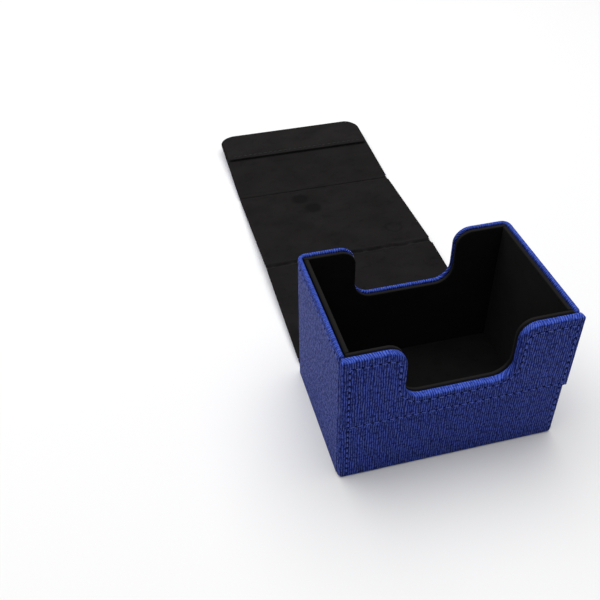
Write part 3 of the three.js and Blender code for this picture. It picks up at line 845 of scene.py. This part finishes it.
def make_walls():
    """The left, back and right walls in one sheet, with a stitched hem along each rim."""
    outline = notched(SIDE_END, TABLE_GAP, HEIGHT, 0.6, 1.6, step=STITCHED_STEP)
    stitch = by_edge(UNSTITCHED, UNSTITCHED, HEM_STITCH, HEM_STITCH)
    radius = by_edge(0.3, 1.0, 1.0, 1.0)
    row_end = SIDE_END - SIDE_ROW_MARGIN
    stretches = {
        "right_wall": (SIDE_START, row_end),
        "back_wall": (-WALL_STRAIGHT, WALL_STRAIGHT),
        "left_wall": (-row_end, -SIDE_START),
    }
    rows = {name: stitch_path(outline, stitch, picks(start, end, HEIGHT / 2))
            for name, (start, end) in stretches.items()}
    rings = groove(outline, stitch, rows.values(), by_edge(0, 0, 1, 1), radius)
    back_radius = by_edge(0.3, 1.0, 1.1, 1.1)
    thickness = by_edge(LEATHER, WALL, WALL_RIM, WALL_RIM)
    rings += rim(radius, back_radius, thickness, by_edge(0.4, HEM, HEM, HEM))
    bend = np.linspace(WALL_STRAIGHT, SIDE_START, 7)
    sides = grid_lines(SIDE_START, SIDE_END)
    back = mirrored_lines(WALL_STRAIGHT)
    columns = np.unique(np.concatenate([back, bend, -bend, sides, -sides]).round(4))
    walls = wrapped("body_wrap", outline, rings, place_walls, LEATHER_WITH_RIM_HIGHLIGHT_LOOK,
                    (columns, grid_lines(TABLE_GAP, HEIGHT)), gentle(0.06, 19, 23), bent=True)
    finish_piece(walls, "box", "leather", "body_leather")
    for name, row in rows.items():
        look = {} if name == "back_wall" else {"bed": 0.0, "width": HEM_STITCH_WIDTH, "holes": False}
        stitch_row(name, row, place_walls, "box", [f"{name}_thread"], **look)


def make_overlay():
    """The upper front panel, whose leather rolls over the rim and down behind it."""
    outline = notched(OVERLAY_HALF_WIDTH, OVERLAY_FOOT, HEIGHT, 0.6, 0.8, step=STITCHED_STEP)
    stitch = by_edge(OVERLAY_STITCH_FOOT, OVERLAY_STITCH_RIGHT, OVERLAY_STITCH_TOP, OVERLAY_STITCH_NOTCH,
                     OVERLAY_STITCH_LEFT)
    row = stitch_path(outline, stitch)
    rim_depth = FRONT_INSIDE - FACE
    front_radius = by_edge(0.5, 0.6, 1.0, 1.0)
    back_radius = by_edge(0.3, 0.75, 1.5, 1.5)
    thickness = by_edge(OVERLAY_DEPTH, OVERLAY_DEPTH, rim_depth, rim_depth)
    hem = by_edge(LEATHER, LEATHER, HEM, HEM)
    rings = groove(outline, stitch, [row]) + rim(front_radius, back_radius, thickness, hem)
    grid = mirrored_lines(OVERLAY_HALF_WIDTH), grid_lines(OVERLAY_FOOT, HEIGHT)
    overlay = wrapped("overlay_wrap", outline, rings, upright(FACE), LEATHER_WITH_RIM_HIGHLIGHT_LOOK, grid,
                      gentle(0.08, 13, 11, 0.7))
    finish_piece(overlay, "box", "leather", "overlay_leather")
    stitch_row("overlay", row, upright(FACE), "box", ["overlay_thread"])


def make_band():
    """The lower front wall, stitched down both sides, whose top is hidden behind the overlay."""
    outline = notched(HALF_WIDTH, TABLE_GAP, HEIGHT - BAND_DROP, BAND_CORNER, 1.0, sink=BAND_DROP,
                      step=STITCHED_STEP)
    thickness = FRONT_INSIDE - BAND_FACE - GLUE
    stitch = by_edge(UNSTITCHED, BAND_STITCH_RIGHT, UNSTITCHED, UNSTITCHED, BAND_STITCH_LEFT)
    radius = by_edge(0.4, 1.4, 1.1, 1.1, 1.8)
    side = HALF_WIDTH - 7
    row_top = OVERLAY_FOOT + 1
    rows = {
        "band_right": stitch_path(outline, stitch, picks(low_a=side, low_b=3, high_b=row_top)),
        "band_left": stitch_path(outline, stitch, picks(high_a=-side, low_b=2, high_b=row_top)),
    }
    rings = groove(outline, stitch, rows.values(), by_edge(0, 1, 0, 0), radius)
    back_radius = by_edge(0.1, 0.5, 0.3, 0.3)
    thicknesses = by_edge(LEATHER, thickness, thickness, thickness)
    rings += rim(radius, back_radius, thicknesses, by_edge(0.5, HEM, HEM, HEM))
    grid = mirrored_lines(HALF_WIDTH), grid_lines(TABLE_GAP, HEIGHT)
    band = wrapped("front_wall_wrap", outline, rings, upright(BAND_FACE), LEATHER_LOOK, grid,
                   gentle(0.08, 17, 14, 2.1), uv_origin=(31, 7))
    finish_piece(band, "box", "leather", "front_wall_leather")
    for name, row in rows.items():
        stitch_row(name, row, upright(BAND_FACE), "box")


def make_underside():
    """The cover's sheet under the box, just inside the skin of the walls."""

    def place_underside(x, y, depth):
        return np.column_stack([x, y, depth])

    inset = LEATHER + GLUE
    outline = rectangle(inset - HALF_WIDTH, HALF_WIDTH - inset, BAND_FACE + inset, BACK - inset,
                        UNDERSIDE_CORNER, BACK_CORNER)
    grid = mirrored_lines(HALF_WIDTH, 8.0), grid_lines(BAND_FACE, BACK, 8.0)
    tray = wrapped("base_wrap", outline, rim(0.5, 0.5, BASE_TOP), place_underside, LEATHER_LOOK, grid)
    finish_piece(tray, "box", "leather", "base_leather")


# ---- box: lining ----


def make_lining():
    """Suede over the cards that line the well's four walls and its floor."""
    top = HEIGHT - LINING_DROP
    end_wall = notched(LINING_HALF_WIDTH, LINING_FOOT, top, 0.3, 0.5, sink=LINING_DROP)
    side_wall = rectangle(WELL_FRONT + GLUE, WELL_BACK - GLUE, LINING_FOOT, top, 0.3, 0.3)
    half_floor = WELL_HALF_WIDTH - GLUE
    floor = rectangle(-half_floor, half_floor, WELL_FRONT + GLUE, WELL_BACK - GLUE, 0.5, 0.5)
    wall_rim = rim(LINING_RIM, LINING_FOOT_RIM, LINING_WALL - RIM_GAP)
    floor_rim = rim(FLOOR_RIM, FLOOR_RIM, SUEDE)
    along = grid_lines(WELL_FRONT, WELL_BACK)
    up = grid_lines(LINING_FOOT, HEIGHT)
    end_grid = mirrored_lines(LINING_HALF_WIDTH), up
    floor_grid = mirrored_lines(WELL_HALF_WIDTH), along

    def lengthwise(hand):
        return lambda y, z, depth: np.column_stack([hand * (WELL_HALF_WIDTH + depth), y, z])

    def place_floor(x, y, depth):
        return np.column_stack([x, y, FLOOR_TOP - depth])

    walls = (
        ("front", end_wall, upright(WELL_FRONT, -1), end_grid, gentle(0.05, 15, 12, -1)),
        ("back", end_wall, upright(WELL_BACK), end_grid, gentle(0.05, 15, 12, 1)),
        ("left", side_wall, lengthwise(-1), (along, up), gentle(0.05, 11, 13, -0.5)),
        ("right", side_wall, lengthwise(1), (along, up), gentle(0.05, 11, 13, 1.5)),
    )
    for name, outline, place, grid, relief in walls:
        suede = wrapped(f"lining_{name}", outline, wall_rim, place, WELL_WALL_LOOK, grid, relief)
        finish_piece(suede, "box", "suede", f"lining_{name}_suede")
    suede = wrapped("lining_floor", floor, floor_rim, place_floor, WELL_FLOOR_LOOK, floor_grid,
                    gentle(0.06, 14, 11, 4.0))
    finish_piece(suede, "box", "suede", "lining_floor_suede")


# ---- cover ----


class Panel:
    """A cover panel's frame: s runs from its fold, h is the height above its outer skin."""

    def __init__(self, body, name, pivot, tilt, start, end, corner, run):
        self.body, self.name = body, name
        self.pivot, self.tilt = pivot, tilt
        self.start, self.end, self.corner, self.run = start, end, corner, run

    def place(self, x, s, h):
        along, up = math.cos(self.tilt), math.sin(self.tilt)
        y = self.pivot[Y] + s * along - h * up
        z = self.pivot[Z] + s * up + h * along
        return np.column_stack([x, y, z])

    def place_lining(self, x, s, depth):
        return self.place(x, s, COVER_THICKNESS - depth)

    def outline(self, step=RIM_STEP, inset=0.0):
        across = COVER_HALF_WIDTH - inset
        end = self.end - inset if self.corner else self.end
        return rectangle(-across, across, self.start, end, 0, max(self.corner - inset, 0), step)

    def edges(self, fold, side, tip):
        """Values for the near fold, the right side, the far end and the left side."""
        return np.array([fold, side, tip if self.corner else fold, side], float)

    def grid(self):
        return mirrored_lines(COVER_HALF_WIDTH), grid_lines(self.start, self.end)


BACK_PANEL = Panel("back_panel", "back_panel", BASE_PIVOT, BACK_PANEL_TILT,
                   BASE_SETBACK, BACK_PANEL_LENGTH - FOLD_SETBACK, 0, 0)
TOP_PANEL = Panel("top_panel", "top_panel", REAR_PIVOT, TOP_PANEL_TILT,
                  FOLD_SETBACK, TOP_PANEL_LENGTH - FOLD_SETBACK, 0, BACK_PANEL_LENGTH)
FLAP = Panel("front_flap", "flap", FRONT_PIVOT, FLAP_TILT,
             FOLD_SETBACK, FLAP_LENGTH, FLAP_CORNER, BACK_PANEL_LENGTH + TOP_PANEL_LENGTH)


def cover_rows(panel, outline, stitch):
    """Rows along the panel's sides on its leather face, joined round the tip on the flap."""
    start, end = panel.start + COVER_ROW_MARGIN, panel.end - COVER_ROW_MARGIN
    if panel.corner:
        return {"flap_thread": stitch_path(outline, stitch, picks(low_b=start))}
    middle = COVER_HALF_WIDTH / 2
    sides = {"left": picks(-math.inf, -middle, start, end), "right": picks(middle, math.inf, start, end)}
    return {f"{panel.name}_thread_{side}": stitch_path(outline, stitch, keep)
            for side, keep in sides.items()}


def make_panel_leather(panel):
    outline = panel.outline(STITCHED_STEP, COVER_LEATHER_INSET)
    radius = panel.edges(0, 0.9, 0.9)
    stitch = panel.edges(UNSTITCHED, COVER_STITCH, COVER_STITCH)
    thickness = COVER_THICKNESS - SUEDE - GLUE
    rows = cover_rows(panel, outline, stitch)
    stitched = panel.edges(0, 1, 1)
    rings = groove(outline, stitch, rows.values(), stitched, radius) + rim(radius, radius * 0.5, thickness)
    leather = wrapped(f"{panel.name}_wrap", outline, rings, panel.place, LEATHER_LOOK,
                      panel.grid(), gentle(0.07, 21, 17, panel.run), uv_origin=(0, panel.run))
    finish_piece(leather, panel.body, "leather", f"{panel.name}_leather")
    for name, row in rows.items():
        stitch_row(name.replace("thread", "row"), row, panel.place, panel.body, [name])


def make_panel_suede(panel, look):
    outline = panel.outline()
    near = 0.5 if panel is BACK_PANEL else 0
    radius = np.array([near, 0.4, 0.4 if panel.corner else 0, 0.4])
    suede = wrapped(f"{panel.name}_lining", outline, rim(radius, radius * 0.5, SUEDE), panel.place_lining,
                    look, panel.grid(), gentle(0.05, 17, 19, panel.run + 1), uv_origin=(0, panel.run))
    finish_piece(suede, panel.body, "suede", f"{panel.name}_suede")


FOLD_COLUMNS = 103
FOLD_STATIONS = 33
BASE_FOLD_COLUMNS = 52
BASE_FOLD_STATIONS = 25
DENT_FADE = 0.6
TILT_EASE = 0.5
WEB_EDGE = 0.45
LEATHER_DENT = 0.4
FOLD_SUEDE_FOOT = 1.05
FOLD_SUEDE_LOWEST = 1.25
BASE_FOLD_SUEDE_TOP = 1.15
# The suede is pushed up into a low lip on each side of a crease.
LIP_PLACE = 2.0
LIP_WIDTH = 0.5
LIP_HEIGHT = 0.22


def strip(name, place, stations, low_side, high_side, half_width, columns, material, run):
    """A closed strip across a fold. low_side and high_side give its two faces' heights from x and s."""
    across = np.linspace(-half_width, half_width, columns)
    points, uvs = [], []
    for s in stations:
        under, over = low_side(across, s), high_side(across, s)
        inset = np.minimum((over - under) / 2, WEB_EDGE)
        inner = np.clip(across, -half_width + inset, half_width - inset)
        middle = (under + over) / 2
        ring = [(x, s, h) for x, h in zip(inner, under)]
        ring.append((half_width, s, middle[-1]))
        ring += [(x, s, h) for x, h in zip(inner[::-1], over[::-1])]
        ring.append((-half_width, s, middle[0]))
        points += ring
        unrolled = travelled(np.array([(x, h) for x, _, h in ring]), False)[0] - half_width
        uvs += [(u, run + s) for u in unrolled]
    faces = capped_faces(0, len(stations), 2 * columns + 2)
    return place_object(name, points, place, faces, uvs, material)


def bend_between(pivot, tilt_before, tilt_after):
    """Places a strip that lies along one panel before the pivot and along the next one after it."""
    def place(x, s, h):
        tilt = np.where(s < 0, tilt_before, tilt_after) * np.clip(np.abs(s) / TILT_EASE, 0, 1)
        y = pivot[Y] + s * np.cos(tilt) - h * np.sin(tilt)
        z = pivot[Z] + s * np.sin(tilt) + h * np.cos(tilt)
        return np.column_stack([x, y, z])

    return place


def level(height):
    """A face of a strip at one height."""
    return lambda x, s: height + 0 * x


def ripples(x, *waves):
    """A sum of waves, each given by its height, its length over two pi and its phase."""
    return sum(height * np.sin(x / length + phase) for height, length, phase in waves)


def make_webs(name, before, panel, stations, columns, leather_sides, suede_sides):
    """The leather and suede strips at a panel's near fold.

    before is the body and tilt ahead of the fold; its body is not used. The strips bend from turn[0] before it to
    turn[1] after.
    """
    body, tilt = before
    place = bend_between(panel.pivot, tilt, panel.tilt)
    webs = (
        ("leather", leather_sides, COVER_LEATHER_INSET, LEATHER_LOOK),
        ("suede", suede_sides, SUEDE_WEB_INSET, SUEDE_LOOK),
    )
    for slot, sides, inset, look in webs:
        piece = strip(f"{name}_{slot}_web", place, stations, *sides, COVER_HALF_WIDTH - inset, columns,
                      look, panel.run)
        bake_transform(piece)
        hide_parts(f"{name}_{slot}")


def fold_pieces(name, before, panel, crease_depth, crease_width, pucker):
    """The leather and suede that cross one of the two folds between panels."""
    stations = np.linspace(-FOLD_SETBACK, FOLD_SETBACK, FOLD_STATIONS)

    def dent(s, width):
        return np.exp(-((s / width) ** 2)) * np.clip((FOLD_SETBACK - np.abs(s)) / DENT_FADE, 0, 1)

    def outer(x, s):
        return LEATHER_DENT * dent(s, 1.0) + 0 * x

    def inner(x, s):
        return outer(x, s) + LEATHER

    def suede_over(x, s):
        wander = pucker * ripples(x, (0.45, 3.1, panel.run), (0.3, 1.37, 0), (0.2, 7.9, 0))
        depth = crease_depth * (1 + pucker * ripples(x, (0.35, 2.3, 0.7), (0.25, 0.9, 0)))
        lip = np.exp(-(((abs(s) - LIP_PLACE) / LIP_WIDTH) ** 2)) * (0.6 + ripples(x, (0.4, 1.9, 0)))
        top = COVER_THICKNESS - depth * dent(s - 0.5 * wander, crease_width) + LIP_HEIGHT * pucker * lip
        return np.maximum(top, FOLD_SUEDE_LOWEST)

    make_webs(name, (before.body, before.tilt), panel, stations, FOLD_COLUMNS,
              (outer, inner), (level(FOLD_SUEDE_FOOT), suede_over))


def base_fold_pieces():
    """The leather and suede from the box's foot to the back panel, which turn about the box's rear edge."""
    stations = np.linspace(BACK - LEATHER - GLUE - BASE_PIVOT[Y], BASE_SETBACK, BASE_FOLD_STATIONS)

    def suede_over(x, s):
        return BASE_FOLD_SUEDE_TOP + ripples(x, (0.05, 2.9, 0))

    make_webs("base_fold", ("box", 0.0), BACK_PANEL, stations, BASE_FOLD_COLUMNS,
              (level(0.0), level(LEATHER)), (level(LEATHER), suede_over))


PAD_NEAR = FLAP_LENGTH - PAD_LENGTH
PAD_FAR = FLAP_LENGTH - PAD_TIP_MARGIN
PAD_RISE = PAD_TOP - COVER_THICKNESS
PAD_CROWN = 0.12
PAD_CROWN_FADE = 4.0
PAD_SEAM_DEPTH = 0.16
PAD_SEAM_WIDTH = 0.7
PAD_SEAM_MARGIN = 3.0
PAD_SHOULDER = np.array([0.3, 1.6, 2.4, 1.6])


def place_pad(x, s, depth):
    return FLAP.place(x, s, PAD_TOP - depth)


def pad_crown(x, s):
    from_edge = np.minimum(PAD_HALF_WIDTH - np.abs(x), np.minimum(s - PAD_NEAR, PAD_FAR - s))
    fade = np.clip(from_edge / PAD_CROWN_FADE, 0, 1)
    seam = np.exp(-(((s - PAD_NEAR - PAD_STITCH) / PAD_SEAM_WIDTH) ** 2)) * PAD_SEAM_DEPTH
    return (PAD_CROWN + ripples(x, (0.03, 6.0, 0))) * fade - seam


def make_pad():
    """The soft strip on the flap: suede drawn over a core, crowned, with a stitched seam near its step."""
    outline = rectangle(-PAD_HALF_WIDTH, PAD_HALF_WIDTH, PAD_NEAR, PAD_FAR, 1.6, PAD_CORNER, 0.8)
    rings = []
    for angle in np.linspace(0, math.pi / 2, 9):
        rings.append((PAD_SHOULDER * (1 - math.sin(angle)), PAD_RISE * (1 - math.cos(angle)) * 0.9))
    rings += [(-0.1, PAD_RISE * 0.97), (-0.3, PAD_RISE + 0.03), (0.5, PAD_RISE + 0.25)]
    grid = mirrored_lines(PAD_HALF_WIDTH, 1.6), grid_lines(PAD_NEAR, PAD_FAR, 0.9)
    pad = wrapped("flap_pad", outline, rings, place_pad, PAD_LOOK, grid, pad_crown,
                  uv_origin=(40, FLAP.run))
    finish_piece(pad, "front_flap", "suede")
    seam_end = PAD_HALF_WIDTH - PAD_SEAM_MARGIN
    path = np.array([(x, PAD_NEAR + PAD_STITCH) for x in grid_lines(-seam_end, seam_end, 0.8)])
    stitch_row("pad_seam", (path, *travelled(path, False), False), place_pad, "front_flap", bed=-0.05,
               thread=BLACK_THREAD, holes=False)


def make_cover():
    for panel in (BACK_PANEL, TOP_PANEL, FLAP):
        make_panel_leather(panel)
        make_panel_suede(panel, MARKED_SUEDE_LOOK if panel is TOP_PANEL else SUEDE_LOOK)
    fold_pieces("rear_fold", BACK_PANEL, TOP_PANEL, 1.3, 1.05, 1.0)
    fold_pieces("front_fold", TOP_PANEL, FLAP, 0.55, 0.5, 0.3)
    base_fold_pieces()
    make_pad()


# ---- studio ----


FLOOR_REACH = 4.0
FLOOR_GAP = 0.0001
FLOOR_SHADE = (0.93, 0.93, 0.93, 1)
KEY_PLACE = (-0.1, 0.36, 1.4)
KEY_TARGET = (0, 0.08, 0)
KEY_SIZE = 2.4
KEY_POWER = 34.0
SKY_STRENGTH = 0.12

CAMERA_AZIMUTH = math.radians(-13.88)
CAMERA_ELEVATION = math.radians(40.56)
CAMERA_ROLL = math.radians(-0.98)
CAMERA_OFFSET = (-58.51, 48.70, 388.2)
CAMERA_LENS = 47.61
CAMERA_SENSOR = 36.0


def make_floor():
    mesh = bpy.data.meshes.new("studio_floor")
    corners = [(-1, -1), (1, -1), (1, 1), (-1, 1)]
    mesh.from_pydata([(x * FLOOR_REACH, y * FLOOR_REACH, 0) for x, y in corners], [], [(0, 1, 2, 3)])
    floor = bpy.data.objects.new("studio_floor", mesh)
    bpy.context.collection.objects.link(floor)
    floor.location.z = -FLOOR_GAP
    look = Material("pale_floor", Roughness=0.9)
    look.set(look.shader, {"Base Color": FLOOR_SHADE, "Specular IOR Level": 0.1})
    mesh.materials.append(look.material)


def make_key_light():
    data = bpy.data.lights.new("key", "AREA")
    data.shape = "DISK"
    data.size = KEY_SIZE
    data.energy = KEY_POWER
    light = bpy.data.objects.new("key", data)
    light.location = KEY_PLACE
    light.rotation_mode = "QUATERNION"
    light.rotation_quaternion = (Vector(KEY_TARGET) - Vector(KEY_PLACE)).to_track_quat("-Z", "Y")
    bpy.context.collection.objects.link(light)


def make_studio():
    make_floor()
    make_key_light()
    world = bpy.data.worlds.new("studio")
    world.use_nodes = True
    background = world.node_tree.nodes["Background"]
    background.inputs["Color"].default_value = (1, 1, 1, 1)
    background.inputs["Strength"].default_value = SKY_STRENGTH
    bpy.context.scene.world = world
    bpy.context.scene.view_settings.view_transform = "Standard"


def make_camera():
    """The offset is the camera's place along its own right, up and back axes."""
    turn = Matrix.Rotation(CAMERA_AZIMUTH, 3, "Z") @ Matrix.Rotation(math.pi / 2 - CAMERA_ELEVATION, 3, "X")
    turn = turn @ Matrix.Rotation(CAMERA_ROLL, 3, "Z")
    data = bpy.data.cameras.new("camera")
    data.lens = CAMERA_LENS
    data.sensor_width = CAMERA_SENSOR
    camera = bpy.data.objects.new("camera", data)
    camera.matrix_world = turn.to_4x4()
    camera.location = turn @ Vector(CAMERA_OFFSET) * MM
    bpy.context.collection.objects.link(camera)
    bpy.context.scene.camera = camera


make_camera()
make_studio()
dress_cad_nodes()
make_walls()
make_overlay()
make_band()
make_underside()
make_lining()
make_cover()
